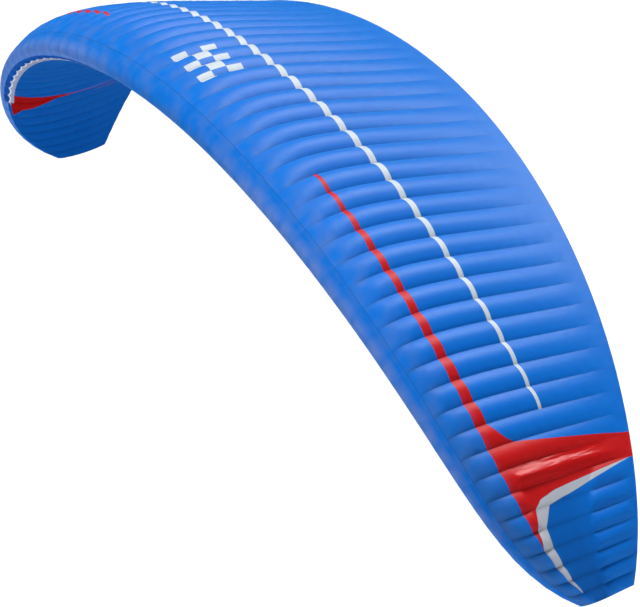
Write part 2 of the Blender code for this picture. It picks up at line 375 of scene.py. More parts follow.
def cloth_sheet(name, stations, rows, material, node, row_at=None, fields=None):
    """A closed thin sheet of inflated cloth between its first and last station and row."""
    rib = np.repeat(stations[:, None], len(rows), axis=1)
    signed = np.repeat(rows[None, :], len(stations), axis=0)
    if row_at:
        signed = row_at(rib, signed)
    grid, normal = cloth_place(rib, signed)
    across, along = rib.shape
    index = np.arange(across * along).reshape(across, along)
    points, faces, rim = thicken(grid.reshape(-1, 3), normal.reshape(-1, 3), grid_quads(index), CLOTH)
    mesh = make_mesh(name, points, faces)
    at_rib = np.abs(stations - np.round(stations)) < 1e-6
    lines = np.stack([index[at_rib, :-1].ravel(), index[at_rib, 1:].ravel()], -1)
    count = across * along
    mark_sharp(mesh, np.concatenate([lines, lines + count, rim, rim + count]))
    span = run_lengths(grid, 0)
    chord = run_lengths(grid, 1)
    middle = [along // 2]
    chord -= chord[:, middle]
    chord += np.abs(signed[:, middle]) * chord_length(rib[:, middle])
    metric = np.stack([span, chord], -1).reshape(-1, 2)
    set_map(mesh, "cloth", np.concatenate([metric, metric])[faces])
    chart = np.stack([(index // along) / (across - 1), (index % along) / (along - 1)], -1)
    set_map(mesh, "OFBake", bake_map(chart.reshape(-1, 2), faces, len(rim)))
    share = np.abs(rib) - np.floor(np.abs(rib))
    seam = np.minimum(share, 1 - share) * cell_width(rib)
    values = {"place": np.stack([rib, signed, seam], -1)}
    values.update(fields(rib, signed) if fields else {})
    for key, value in values.items():
        flat = value.reshape(-1, 3)
        set_field(mesh, key, np.concatenate([flat, flat]))
    taut = fullness(rib, signed).ravel()
    inside = np.repeat([0.0, 1.0], count)
    set_field(mesh, "state", np.stack([inside, np.tile(taut, 2), 0 * inside], -1))
    piece = finish_piece(name, mesh, material, [node])
    return piece


# ---- Coloured panels ----
# Edges as rib number and chord fraction. The stripe's middle and width are polynomials.
PANEL_LAP = 0.02          # ribs by which a panel passes the seam where it ends
STRIPE_END = 20
STRIPE_MIDDLE = ((0, 0.416), (2, 0.237), (4, 0.091))
STRIPE_DIP, STRIPE_DIP_TO = 0.014, 10   # it lies further forward inside this rib
STRIPE_WIDTH_M = ((0, 0.060), (2, -0.066))
RED_FROM, RED_END = 8, 25.95
RED_FRONT = ((8, 0.190), (14, 0.190), (18, 0.187), (20, 0.185), (21, 0.183), (23, 0.187),
             (25.9, 0.187))
RED_REAR = ((8, 0.202), (9, 0.207), (11, 0.213), (13, 0.218), (15, 0.223), (17, 0.229), (19, 0.236),
            (20, 0.242), (20.3, 0.256), (20.6, 0.276), (20.8, 0.297), (21, 0.332), (21.2, 0.447),
            (21.4, 0.589), (21.7, 0.826), (22, 1.02), (23.02, 1.02), (23.06, 0.963), (23.14, 0.868),
            (23.41, 0.489), (23.48, 0.425), (23.67, 0.331), (24, 0.279), (24.9, 0.225),
            (25.9, 0.187))
BORDER_REAR = ((23, 1.02), (23.04, 1.0), (23.2, 0.905), (23.32, 0.83), (23.56, 0.682), (23.69, 0.610),
               (23.81, 0.528), (23.9, 0.452), (24.03, 0.372), (24.94, 0.288), (25.98, 0.260),
               (27, 0.248), (28.1, 0.230), (29.0, 0.224))
BORDER_TIP_FRONT = ((25.9, 0.187), (27, 0.185), (28, 0.191), (29.0, 0.215))
BORDER_FROM, BORDER_END = 23.0, 29.0
STRIPE_OR_BORDER = 21.5   # a rib number between the stripe and the border
# On the lower skin, as chord fraction and rib number.
LOWER_RED_INNER = ((0.05, 20.95), (0.068, 21.0), (0.16, 21.2), (0.25, 21.4), (0.35, 21.5),
                   (0.45, 21.66), (0.55, 21.70), (0.70, 21.62))
LOWER_RED_OUTER = ((0.05, 23.6), (0.077, 23.28), (0.112, 22.96), (0.165, 22.86), (0.231, 22.5),
                   (0.295, 22.2), (0.325, 22.0), (0.45, 21.76), (0.55, 21.76), (0.70, 21.66))
LOWER_RED_FRONT, LOWER_RED_REAR = 0.048, 0.70
# A second thin line beside it.
LOWER_LINE_RIB, LOWER_LINE_CHORD, LOWER_LINE_WIDTH = 22.65, (0.54, 0.80), 0.008
# The white of the inlet band runs on to a point ahead of the red.
POINT_FROM, POINT_END = 22.0, 22.6
POINT_FRONT = (0.036, 0.056)
POINT_REAR = 0.066
EDGE_STEP = 0.02          # ribs to each side over which the slope of an edge is taken


def edge_distance(rib, signed, table):
    """How far behind an edge a place lies, in metres, the edge given as chord fraction by rib."""
    r, x = np.abs(rib), np.abs(signed)
    places, levels = zip(*table)
    edge = np.interp(r, places, levels)
    rise = np.interp(r + EDGE_STEP, places, levels) - np.interp(r - EDGE_STEP, places, levels)
    slope = rise / (2 * EDGE_STEP)
    chord = chord_length(rib)
    steep = np.sqrt(1 + (slope * chord / cell_width(rib)) ** 2)
    return (x - edge) * chord / steep


def upper_fields(rib, signed):
    """How far a place is inside each edge of the white and the red panels, in metres."""
    r, x = np.abs(rib), np.abs(signed)
    chord, width = chord_length(rib), cell_width(rib)
    middle = polynomial(STRIPE_MIDDLE, r / CELLS_PER_HALF)
    middle = middle - STRIPE_DIP * np.maximum(0, 1 - (r / STRIPE_DIP_TO) ** 2) ** 2
    half = polynomial(STRIPE_WIDTH_M, r / CELLS_PER_HALF) / 2
    stripe = np.stack([(x - middle) * chord + half, half - (x - middle) * chord], -1)
    red_rear = edge_distance(rib, signed, RED_REAR)
    tip_front = edge_distance(rib, signed, BORDER_TIP_FRONT)
    border_front = np.where(r < BORDER_TIP_FRONT[0][0], red_rear, tip_front)
    border = np.stack([border_front, -edge_distance(rib, signed, BORDER_REAR)], -1)
    inner = r < STRIPE_OR_BORDER
    white = np.where(inner[..., None], stripe, border)
    border_end = np.minimum(r - BORDER_FROM, BORDER_END - r)
    white_end = np.where(inner, STRIPE_END + PANEL_LAP - r, border_end) * width
    red_end = np.minimum(r - RED_FROM + PANEL_LAP, RED_END - r) * width
    red = np.stack([edge_distance(rib, signed, RED_FRONT), -red_rear, red_end], -1)
    return {"white_panel": np.concatenate([white, white_end[..., None]], -1), "red_panel": red}


def lower_fields(rib, signed):
    """The same for the panels of the lower skin."""
    r, x = np.abs(rib), np.abs(signed)
    chord, width = chord_length(rib), cell_width(rib)
    inner = np.interp(x, *zip(*LOWER_RED_INNER))
    outer = np.interp(x, *zip(*LOWER_RED_OUTER))
    red = np.stack([(r - inner) * width, (outer - r) * width,
                    np.minimum(x - LOWER_RED_FRONT, LOWER_RED_REAR - x) * chord], -1)
    line = np.stack([LOWER_LINE_WIDTH / 2 - np.abs(r - LOWER_LINE_RIB) * width,
                     (x - LOWER_LINE_CHORD[0]) * chord, (LOWER_LINE_CHORD[1] - x) * chord], -1)
    red = np.where((line.min(-1) > red.min(-1))[..., None], line, red)
    point = np.interp(r, (POINT_FROM, POINT_END), POINT_FRONT)
    white = np.stack([(x - point) * chord, (POINT_REAR - x) * chord, (POINT_END - r) * width], -1)
    return {"white_panel": white, "red_panel": red}


# ---- Materials ----
def linear(red, green, blue):
    """A colour given in screen values from 0 to 255."""
    channels = [c / 255 for c in (red, green, blue)]
    return tuple(c / 12.92 if c <= 0.04045 else ((c + 0.055) / 1.055) ** 2.4 for c in channels) + (1.0,)


UPPER_BLUE = linear(4, 120, 224)
NOSE_BLUE = linear(12, 116, 216)
# Painted shade: the lower skin's blue and red are darker than the upper skin's, for the shade under the
# wing.
LOWER_BLUE_PAINTED_SHADE = linear(0, 82, 168)
RED = linear(212, 26, 29)
LOWER_RED_PAINTED_SHADE = linear(152, 6, 8)
WHITE = linear(213, 225, 233)
RIB_BLUE = linear(90, 160, 232)
BAND_WHITE = linear(150, 160, 190)
# Painted shade: a darker blue and a greyer white for the tip cells, which turn away from the light.
TIP_BLUE_PAINTED_SHADE = linear(3, 106, 202)
TIP_WHITE_PAINTED_SHADE = linear(196, 202, 212)
TIP_DULL = linear(64, 100, 146)
LOW_BLOOM = linear(104, 138, 214)
BLOOM = linear(90, 126, 200)
# Painted light: inner faces and ribs are paler, standing in for daylight through the cloth.
INNER_PAINTED_LIGHT = linear(60, 140, 230)
INNER_PAINTED_LIGHT_SHARE = 0.6      # share of the inner faces' colour that is painted light, for daylight through the cloth
RIB_GLOW = linear(14, 108, 196)   # daylight through the skins, so the ribs are never dark
GLOW_STRENGTH = 0.22
BROAD_TINT = (0.72, 0.80, 0.90, 1.0)
BROAD_SCALE, BROAD_SHARE = 1.6, 0.16   # slow differences of shade between cells and along them

# Gain and shift of a value that is then held between 0 and 1. The value is the signed chord
# fraction, the rib number, the distance to the nearest seam in metres, or a noise.
TIP_SHADE_CHORD = (-1 / 0.2, 3.4)
BLOOM_CHORD = (-1 / 0.16, 1.35)
BLOOM_NOISE = (4.5, -1.9)
TIP_DULL_RIBS = (0.11, -1.7)
LOW_BLOOM_CHORD = (-1 / 0.024, 1.25)
LOW_BLOOM_SEAM = (1 / 0.12, 0.40)
LOW_BLOOM_INBOARD = (0.25, -0.75)
LOW_BLOOM_OUTBOARD = (-0.25, 6.8)
LOW_BLOOM_NOISE = (1.6, 0.05)
SEAM_FADE_CHORD = (-0.85, 1.0)         # of the square of the chord fraction
TIP_SHADE_FROM = 22.9    # rib number where the painted shade of the tip cells starts, as a darker blue and a greyer white
BLOOM_SCALE, LOW_BLOOM_SCALE = 4.2, 7.0

# Sizes of the fine detail in metres, and how much darker or lighter it is.
RIPSTOP = 0.0055          # side of a square of the ripstop weave
RIPSTOP_THREAD = 0.0006   # half width of its thick threads
RIPSTOP_DARK = 0.05
FINE_SCALE, FINE_SHADE = 90.0, 0.05
STITCH = 0.0035           # length of one stitch
STITCH_GAP = 0.35         # share of it that is a gap
STITCH_ROW = 0.0045       # from the seam to its row of stitches
STITCH_WIDTH = 0.0008
STITCH_LIGHT = 0.12
SEAM_TAPE = 0.0075        # half width of the folded seam over a rib
SEAM_TAPE_EDGE = 0.004
SEAM_HOLLOW = 0.045       # reach of the shadow in its groove
SEAM_ONSET = 0.14         # chord fraction over which the seam's shading starts
SEAM_ONSET_SHIFT = 0.05
SEAM_ONSET_RIB, SEAM_ONSET_GAIN = 10.0, 0.9   # it starts sooner beyond this rib
PANEL_SOFT = 0.0012       # width over which two colours meet
PANEL_EDGE, PANEL_EDGE_DARK = 0.0035, 0.12
NOSE_LINE, NOSE_LINE_DARK = 0.0016, 0.45      # half width as a chord fraction

# Relief: scales of a noise (across and along the cell where there are two) and heights in metres.
CREASE_SCALE, CREASE_HEIGHT, CREASE_REACH = (9.0, 34.0, 1.0), 0.0030, 0.05
SOFT_SCALE, SOFT_HEIGHT = 6.0, 0.0008
PULL_SCALE, PULL_HEIGHT = (22.0, 4.0, 1.0), 0.012
RIPSTOP_HEIGHT, STITCH_HEIGHT = 0.00005, 0.0002
ROUGH_SCALE, ROUGH_RANGE = 14.0, 0.10
TAUT_POLISH = 0.22        # drop in roughness where the cloth is blown tight
SCATTER_SHARE, SCATTER_DEPTH = 0.35, 0.002    # light scattered inside the cloth


class Graph:
    """Short ways to add shader nodes to one material."""

    def __init__(self, name):
        self.material = bpy.data.materials.new(name)
        self.material.use_nodes = True
        self.nodes = self.material.node_tree.nodes
        self.links = self.material.node_tree.links
        self.shader = self.nodes["Principled BSDF"]

    def feed(self, socket, value):
        if isinstance(value, bpy.types.NodeSocket):
            self.links.new(value, socket)
        else:
            socket.default_value = value

    def give(self, name, value):
        """Sets one socket of the shader, or links it."""
        self.feed(self.shader.inputs[name], value)

    def math(self, operation, *values, clamp=False):
        node = self.nodes.new("ShaderNodeMath")
        node.operation = operation
        node.use_clamp = clamp
        for socket, value in zip(node.inputs, values):
            self.feed(socket, value)
        return node.outputs[0]

    def times(self, first, *others):
        """The product of some values."""
        for value in others:
            first = self.math("MULTIPLY", first, value)
        return first

    def clamped(self, value, gain, shift):
        """value * gain + shift, held between 0 and 1."""
        return self.math("MULTIPLY_ADD", value, gain, shift, clamp=True)

    def line(self, distance, width):
        """1 on a line, falling to 0 at a distance of its width."""
        return self.math("SUBTRACT", 1.0, self.math("DIVIDE", distance, width), clamp=True)

    def mix(self, share, first, second, kind="MIX"):
        node = self.nodes.new("ShaderNodeMix")
        node.data_type = "RGBA"
        node.blend_type = kind
        self.feed(node.inputs["Factor"], share)
        self.feed(node.inputs[6], first)
        self.feed(node.inputs[7], second)
        return node.outputs[2]

    def field(self, name):
        """The three numbers of a named vector on the mesh."""
        read = self.nodes.new("ShaderNodeAttribute")
        read.attribute_name = name
        parts = self.nodes.new("ShaderNodeSeparateXYZ")
        self.links.new(read.outputs["Vector"], parts.inputs[0])
        return parts.outputs

    def cloth_map(self):
        node = self.nodes.new("ShaderNodeUVMap")
        node.uv_map = "cloth"
        return node.outputs[0]

    def noise(self, vector, scale, detail=2.0, stretch=None):
        if stretch:
            place = self.nodes.new("ShaderNodeMapping")
            place.inputs["Scale"].default_value = stretch
            self.links.new(vector, place.inputs[0])
            vector = place.outputs[0]
        node = self.nodes.new("ShaderNodeTexNoise")
        node.inputs["Scale"].default_value = scale
        node.inputs["Detail"].default_value = detail
        self.links.new(vector, node.inputs["Vector"])
        return node.outputs["Fac"]

    def inside(self, name):
        """1 inside the panel whose edge distances a named vector holds, and the least of them."""
        front, rear, end = self.field(name)
        nearest = self.math("MINIMUM", self.math("MINIMUM", front, rear), end)
        return self.clamped(nearest, 1 / PANEL_SOFT, 0.5), nearest


def ripstop(graph, uv):
    """Height of the ripstop weave: 1 on the thicker threads of the grid, 0 between them."""
    parts = graph.nodes.new("ShaderNodeSeparateXYZ")
    graph.links.new(uv, parts.inputs[0])
    lines = []
    for axis in (0, 1):
        wave = graph.math("PINGPONG", parts.outputs[axis], RIPSTOP / 2)
        lines.append(graph.line(wave, RIPSTOP_THREAD))
    return graph.math("MAXIMUM", *lines), parts.outputs


def panel_colours(graph, ground, panels, upper, rib, signed):
    """Colour of the cloth with its panels and the painted shade of the tip cells, and the stitched
    lines along their edges.
    """
    colour = ground
    if upper:
        # Painted shade: a darker blue over the braced middle of the tip cells.
        outboard = graph.math("GREATER_THAN", graph.math("ABSOLUTE", rib), TIP_SHADE_FROM)
        behind_border = graph.math("LESS_THAN", graph.field("white_panel")[1], 0.0)
        tip = graph.times(behind_border, outboard, graph.clamped(signed, *TIP_SHADE_CHORD))
        colour = graph.mix(tip, colour, TIP_BLUE_PAINTED_SHADE)
    lines = []
    for field, paint in panels:
        share, nearest = graph.inside(field)
        if upper and paint == WHITE:
            # Painted shade: a greyer white on the tip cells.
            paint = graph.mix(outboard, WHITE, TIP_WHITE_PAINTED_SHADE)
        colour = graph.mix(share, colour, paint)
        lines.append(graph.line(graph.math("ABSOLUTE", nearest), PANEL_EDGE))
    if upper:
        colour = graph.mix(chequer(graph, rib, signed), colour, WHITE)
    return colour, lines


def add_bloom(graph, uv, colour, rib, signed, bloom, tip_dull):
    """Soft greyish patches near the nose, and a greyer blue there towards the tips."""
    patches = graph.clamped(graph.noise(uv, BLOOM_SCALE), *BLOOM_NOISE)
    towards_tip = graph.clamped(graph.math("ABSOLUTE", rib), *TIP_DULL_RIBS)
    ahead = graph.clamped(signed, *BLOOM_CHORD)
    colour = graph.mix(graph.times(ahead, bloom, patches), colour, BLOOM)
    return graph.mix(graph.times(ahead, tip_dull, towards_tip), colour, TIP_DULL)


def add_low_bloom(graph, uv, colour, place, low_bloom):
    """A pale band under the nose, palest at the middle of each cell, between two ribs of a half."""
    rib, signed, seam = place
    cell = graph.clamped(seam, *LOW_BLOOM_SEAM)
    below = graph.clamped(signed, *LOW_BLOOM_CHORD)
    inboard = graph.clamped(graph.math("ABSOLUTE", rib), *LOW_BLOOM_INBOARD)
    outboard = graph.clamped(graph.math("ABSOLUTE", rib), *LOW_BLOOM_OUTBOARD)
    spread = graph.clamped(graph.noise(uv, LOW_BLOOM_SCALE), *LOW_BLOOM_NOISE)
    pale = graph.times(cell, below, inboard, outboard, spread, low_bloom)
    return graph.mix(pale, colour, LOW_BLOOM)


def seam_fade(graph, rib, signed):
    """Strength of a rib seam's painted shade: none on the nose, most behind it, less towards the rear.
    """
    chord = graph.math("ABSOLUTE", signed)
    fade = graph.clamped(graph.times(chord, chord), *SEAM_FADE_CHORD)
    beyond = graph.math("SUBTRACT", graph.math("ABSOLUTE", rib), SEAM_ONSET_RIB)
    outer = graph.math("MAXIMUM", beyond, 0.0)
    onset = graph.times(chord, graph.math("MULTIPLY_ADD", outer, SEAM_ONSET_GAIN, 1 / SEAM_ONSET))
    return graph.times(fade, graph.math("SUBTRACT", onset, SEAM_ONSET_SHIFT, clamp=True))


def relief_height(graph, uv, seam, taut, weave, stitches):
    """Creases that run away from the seams, and the weave, as heights."""
    creases = graph.noise(uv, 1.0, 3.0, stretch=CREASE_SCALE)
    near = graph.clamped(seam, -1 / CREASE_REACH, 1.0)
    relief = graph.times(creases, near, CREASE_HEIGHT)
    relief = graph.math("MULTIPLY_ADD", graph.noise(uv, SOFT_SCALE), SOFT_HEIGHT, relief)
    relief = graph.math("MULTIPLY_ADD", weave, RIPSTOP_HEIGHT, relief)
    relief = graph.math("MULTIPLY_ADD", stitches, STITCH_HEIGHT, relief)
    pulls = graph.noise(uv, 1.0, stretch=PULL_SCALE)
    return graph.math("MULTIPLY_ADD", graph.times(pulls, taut), PULL_HEIGHT, relief)


def cloth_material(name, ground, roughness, panels=(), upper=False, seam_dark=0.14, nose_line=False,
                   gloss=0.20, hollow_dark=0.0, bloom=0.0, tip_dull=0.0, low_bloom=0.0, glow=None):
    """Coated ripstop cloth with coloured panels, rib seams and stitching."""
    graph = Graph(name)
    uv = graph.cloth_map()
    weave, metric = ripstop(graph, uv)
    place = graph.field("place")
    rib, signed, seam = place
    inner, taut, _ = graph.field("state")
    colour, edge_lines = panel_colours(graph, ground, panels, upper, rib, signed)
    if bloom:
        colour = add_bloom(graph, uv, colour, rib, signed, bloom, tip_dull)
    if low_bloom:
        colour = add_low_bloom(graph, uv, colour, place, low_bloom)
    # Painted light: the inner faces are paler, for daylight through the cloth.
    colour = graph.mix(graph.times(inner, INNER_PAINTED_LIGHT_SHARE), colour, INNER_PAINTED_LIGHT)
    tinted = graph.mix(1.0, colour, BROAD_TINT, "MULTIPLY")
    broad = graph.times(graph.noise(uv, BROAD_SCALE, 3.0), BROAD_SHARE)
    colour = graph.mix(broad, colour, tinted)
    shade = graph.math("MULTIPLY_ADD", graph.noise(uv, FINE_SCALE), FINE_SHADE, 1 - FINE_SHADE / 2)
    shade = graph.math("MULTIPLY_ADD", weave, -RIPSTOP_DARK, shade)
    # The folded seam over each rib, darker both as a real seam and as painted shade that fades along
    # the chord, its two rows of stitches and the painted shadow in its groove.
    fade = seam_fade(graph, rib, signed)
    tape = graph.clamped(seam, -1 / SEAM_TAPE_EDGE, SEAM_TAPE / SEAM_TAPE_EDGE)
    shade = graph.math("MULTIPLY_ADD", graph.times(tape, fade), -seam_dark, shade)
    hollow = graph.math("POWER", graph.clamped(seam, -1 / SEAM_HOLLOW, 1.0), 2.0)
    shade = graph.math("MULTIPLY_ADD", graph.times(hollow, fade), -hollow_dark, shade)
    row = graph.line(graph.math("ABSOLUTE", graph.math("SUBTRACT", seam, STITCH_ROW)), STITCH_WIDTH)
    dash = graph.math("GREATER_THAN", graph.math("PINGPONG", metric[1], STITCH), STITCH * STITCH_GAP)
    stitches = graph.times(row, dash)
    shade = graph.math("MULTIPLY_ADD", stitches, STITCH_LIGHT, shade)
    for line in edge_lines:
        shade = graph.math("MULTIPLY_ADD", line, -PANEL_EDGE_DARK, shade)
    if nose_line:
        line = graph.line(graph.math("ABSOLUTE", graph.math("SUBTRACT", signed, nose_line)), NOSE_LINE)
        shade = graph.math("MULTIPLY_ADD", line, -NOSE_LINE_DARK, shade)
    tone = graph.nodes.new("ShaderNodeCombineColor")
    for socket in tone.inputs[:3]:
        graph.links.new(shade, socket)
    colour = graph.mix(1.0, colour, tone.outputs[0], "MULTIPLY")
    graph.give("Base Color", colour)
    bump = graph.nodes.new("ShaderNodeBump")
    bump.inputs["Strength"].default_value = 1.0
    bump.inputs["Distance"].default_value = 1.0
    relief = relief_height(graph, uv, seam, taut, weave, stitches)
    graph.links.new(relief, bump.inputs["Height"])
    graph.give("Normal", bump.outputs[0])
    rough = graph.noise(uv, ROUGH_SCALE)
    rough = graph.math("MULTIPLY_ADD", rough, ROUGH_RANGE, roughness - ROUGH_RANGE / 2)
    rough = graph.math("MULTIPLY_ADD", taut, -TAUT_POLISH, rough)
    graph.give("Roughness", rough)
    graph.give("Specular IOR Level", gloss)
    graph.give("Subsurface Weight", SCATTER_SHARE)
    graph.give("Subsurface Radius", (1.0, 1.0, 1.0))
    graph.give("Subsurface Scale", SCATTER_DEPTH)
    if glow:
        graph.give("Emission Color", glow)
        graph.give("Emission Strength", GLOW_STRENGTH)
    return graph.material


# Plain chequered blocks in the place of the photographed emblem.
CHEQUER_HALF_SPAN = 1.25  # in ribs, to each side of the middle
CHEQUER_FRONT, CHEQUER_REAR = 0.130, 0.298
CHEQUER_COLUMN = 0.5      # in ribs
CHEQUER_ROWS = 3


def chequer(graph, rib, signed):
    """1 on alternate squares of a small chequered field over the middle cells."""
    row_height = (CHEQUER_REAR - CHEQUER_FRONT) / CHEQUER_ROWS
    column = graph.math("DIVIDE", graph.math("ADD", rib, CHEQUER_HALF_SPAN), CHEQUER_COLUMN)
    row = graph.math("DIVIDE", graph.math("SUBTRACT", signed, CHEQUER_FRONT), row_height)
    number = graph.math("ADD", graph.math("FLOOR", column), graph.math("FLOOR", row))
    parity = graph.math("FLOORED_MODULO", number, 2.0)
    even = graph.math("LESS_THAN", parity, 0.5)
    within = graph.math("LESS_THAN", graph.math("ABSOLUTE", rib), CHEQUER_HALF_SPAN)
    behind = graph.math("GREATER_THAN", signed, CHEQUER_FRONT)
    ahead = graph.math("LESS_THAN", signed, CHEQUER_REAR)
    return graph.times(even, within, behind, ahead)


UPPER_PANELS = (("white_panel", WHITE), ("red_panel", RED))
UPPER = cloth_material("upper_ripstop", UPPER_BLUE, 0.46, UPPER_PANELS, upper=True, seam_dark=0.09,
                       nose_line=NOSE_SEAM, gloss=0.11, hollow_dark=0.22, bloom=0.50, tip_dull=0.50)
NOSE = cloth_material("nose_ripstop", NOSE_BLUE, 0.46, seam_dark=0.02, nose_line=NOSE_SEAM,
                      gloss=0.06, bloom=0.45, tip_dull=0.05, low_bloom=0.85)
# The lower skin's blue and red carry painted shade.
LOWER_PANELS = (("white_panel", BAND_WHITE), ("red_panel", LOWER_RED_PAINTED_SHADE))
LOWER = cloth_material("lower_ripstop", LOWER_BLUE_PAINTED_SHADE, 0.68, LOWER_PANELS, gloss=0.02, hollow_dark=0.20)
BAND = cloth_material("band_ripstop", BAND_WHITE, 0.50, (("white_panel", WHITE),))
RIB = cloth_material("rib_ripstop", RIB_BLUE, 0.58, (("nose_tape", WHITE),), glow=RIB_GLOW)


# ---- The wing ----
def stations_of(first, last, side, steps):
    """Rib numbers of the columns of a section, from left to right."""
    ribs = first + np.arange((last - first) * steps + 1) / steps
    return ribs if side > 0 else -ribs[::-1]


def rows_between(first, last, count, ease):
    """Signed chord fractions from first to last, closer together near the leading edge."""
    ends = [math.copysign(abs(end) ** ease, end) for end in (first, last)]
    roots = np.linspace(ends[0], ends[1], count + 1)
    return np.copysign(np.abs(roots) ** (1 / ease), roots)


BAND_TAPE = 0.014         # width of the light tape along the band's free edge
BAND_POINT_POWER = 2.5    # the higher, the narrower the points at the ribs


def band_edge(rib, signed):
    """The band's front edge hangs in a curve between the ribs, where it rises to points."""
    across = np.abs(rib) - np.floor(np.abs(rib))
    edge = INLET_SILL + (INLET_POINT - INLET_SILL) * np.abs(2 * across - 1) ** BAND_POINT_POWER
    share = (signed - BAND_SEAM) / (INLET_SILL - BAND_SEAM)
    return BAND_SEAM + (edge - BAND_SEAM) * share


def band_fields(rib, signed):
    """How far a place is inside the light tape along the band's free edge, in metres."""
    free = band_edge(rib, np.full_like(signed, INLET_SILL))
    from_edge = (free - signed) * chord_length(rib)
    tape = np.stack([BAND_TAPE - from_edge, from_edge + BAND_TAPE, BAND_TAPE + 0 * rib], -1)
    return {"white_panel": tape}


def make_section(number, first, last, side, side_name):
    """The sheets between two section ribs of one half."""
    label = f"{side_name}_{number}"
    closed = first >= INLET_END
    nose_front = INLET_POINT if closed else INLET_LIP
    lower_front = INLET_POINT if closed else BAND_SEAM
    cloth_sheet(f"upper_cloth_{label}", stations_of(first, last, side, UPPER_ACROSS),
                rows_between(NOSE_SEAM, 1.0, UPPER_ALONG, SKIN_EASE), UPPER,
                f"upper_skin_{label}", fields=upper_fields)
    cloth_sheet(f"nose_cloth_{label}", stations_of(first, last, side, NOSE_ACROSS),
                rows_between(nose_front, NOSE_SEAM, NOSE_ALONG, NOSE_EASE), NOSE,
                f"nose_{label}")
    cloth_sheet(f"lower_cloth_{label}", stations_of(first, last, side, LOWER_ACROSS),
                rows_between(-1.0, lower_front, LOWER_ALONG, SKIN_EASE), LOWER,
                f"lower_skin_{label}", fields=lower_fields)
    if not closed:
        cloth_sheet(f"band_cloth_{label}", stations_of(first, last, side, BAND_ACROSS),
                    np.linspace(BAND_SEAM, INLET_SILL, BAND_ALONG + 1), BAND,
                    f"inlet_band_{label}", row_at=band_edge, fields=band_fields)


PORT_PANELS = (0.004, 0.03, 0.14, 0.25, 0.36, 0.47, 0.58, 0.69, 0.80, RIB_END)
NOSE_TAPE = 0.030         # width of the light tape along a rib's front edge
PORT_STEPS = 8            # facets along each side of a panel of a rib
PORT_RADIUS = 0.60        # of a cross port, as a share of half its panel
RIB_SHARP_DEG = 40
# Place of a rib in its share of the bake map: length and margin, and the two faces side by side.
RIB_CHART, RIB_CHART_MARGIN = 0.9, 0.05
RIB_FACE_WIDTH, RIB_FACE_STEP = 0.48, 0.5


def rib_grid(panel, ported):
    """Chord fraction, share of the height and quads of one panel of a rib."""
    half = PORT_STEPS // 2
    i, j = np.meshgrid(np.arange(-half, half + 1), np.arange(-half, half + 1), indexing="ij")
    u, v = i / half, j / half
    quads = grid_quads(np.arange(i.size).reshape(i.shape))
    if ported:
        ring = np.maximum(np.abs(i), np.abs(j))
        angle = np.arctan2(v, u)
        blend = np.clip((ring - half / 2) / (half / 2), 0.0, 1.0)
        u = u * blend + PORT_RADIUS * np.cos(angle) * (1 - blend)
        v = v * blend + PORT_RADIUS * np.sin(angle) * (1 - blend)
        quads = quads[(ring.ravel()[quads] >= half / 2).all(1)]
    chord = panel[0] + (panel[1] - panel[0]) * (u.ravel() + 1) / 2
    return chord, (v.ravel() + 1) / 2, quads


def rib_layer(rib):
    """Points and quads of one rib, with its cross ports, between the two skins."""
    points, faces, total = [], [], 0
    for number, panel in enumerate(zip(PORT_PANELS, PORT_PANELS[1:])):
        ported = 0 < number < len(PORT_PANELS) - 2
        chord, share, quads = rib_grid(panel, ported)
        ribs = np.full_like(chord, float(rib))
        top = base_point(ribs, chord) - base_normal(ribs, chord) * RIB_INSET
        bottom = base_point(ribs, -chord) - base_normal(ribs, -chord) * RIB_INSET
        points.append(bottom + (top - bottom) * share[:, None])
        faces.append(quads + total)
        total += len(chord)
    return weld(np.concatenate(points), np.concatenate(faces))


def weld(points, quads):
    """Joins points that lie on each other and drops points that no quad uses."""
    _, first, which = np.unique(np.round(points, 6), axis=0, return_index=True, return_inverse=True)
    which = which.reshape(-1)
    used, quads = np.unique(which[quads], return_inverse=True)
    return points[first[used]], quads.reshape(-1, 4)


def make_ribs(name, numbers, nodes):
    """A group of ribs as one piece."""
    points, faces, total, area = [], [], 0, 0.0
    chart, places, ahead = [], [], []
    for order, rib in enumerate(numbers):
        layer, quads = rib_layer(rib)
        where = np.array(float(rib))
        _, outward, along = rib_plane(where)
        inset = along * math.copysign(CLOTH, rib) if abs(rib) == CELLS_PER_HALF else 0 * along
        normals = np.tile(along, (len(layer), 1))
        solid, whole, _ = thicken(layer + along * CLOTH / 2 - inset, normals, quads, CLOTH)
        points.append(solid)
        faces.append(whole + total)
        total += len(solid)
        flat = np.stack([layer[:, 1], layer @ outward], -1)
        low, size = flat.min(0), np.ptp(flat, axis=0)
        cell = (flat - low) / size * RIB_CHART + RIB_CHART_MARGIN + [0, order]
        face = cell / [1, len(numbers)] * [RIB_FACE_WIDTH, 1]
        chart.append(np.concatenate([face, face + [RIB_FACE_STEP, 0]])[whole])
        back = layer[:, 1] - base_point(where, np.array(0.0))[1]
        ahead.append(np.concatenate([back, back]))
        places.append(np.concatenate([flat, flat])[whole])
        one = layer[quads]
        crossed = np.cross(one[:, 2] - one[:, 0], one[:, 3] - one[:, 1])
        area += float(np.linalg.norm(crossed, axis=1).sum() / 2)
    mesh = make_mesh(name, np.concatenate(points), np.concatenate(faces))
    mesh.set_sharp_from_angle(angle=math.radians(RIB_SHARP_DEG))
    set_map(mesh, "cloth", np.concatenate(places))
    set_map(mesh, "OFBake", np.concatenate(chart))
    count = len(mesh.vertices)
    set_field(mesh, "place", np.tile([0.0, 0.5, 1.0], (count, 1)))  # far from any seam
    set_field(mesh, "state", np.tile([1.0, 0.0, 0.0], (count, 1)))  # an inner side, so with the painted light of the inside, and not taut
    tape = NOSE_TAPE - np.concatenate(ahead)
    set_field(mesh, "nose_tape", np.stack([tape, tape, tape], -1))
    piece = finish_piece(name, mesh, RIB, nodes)
    return piece


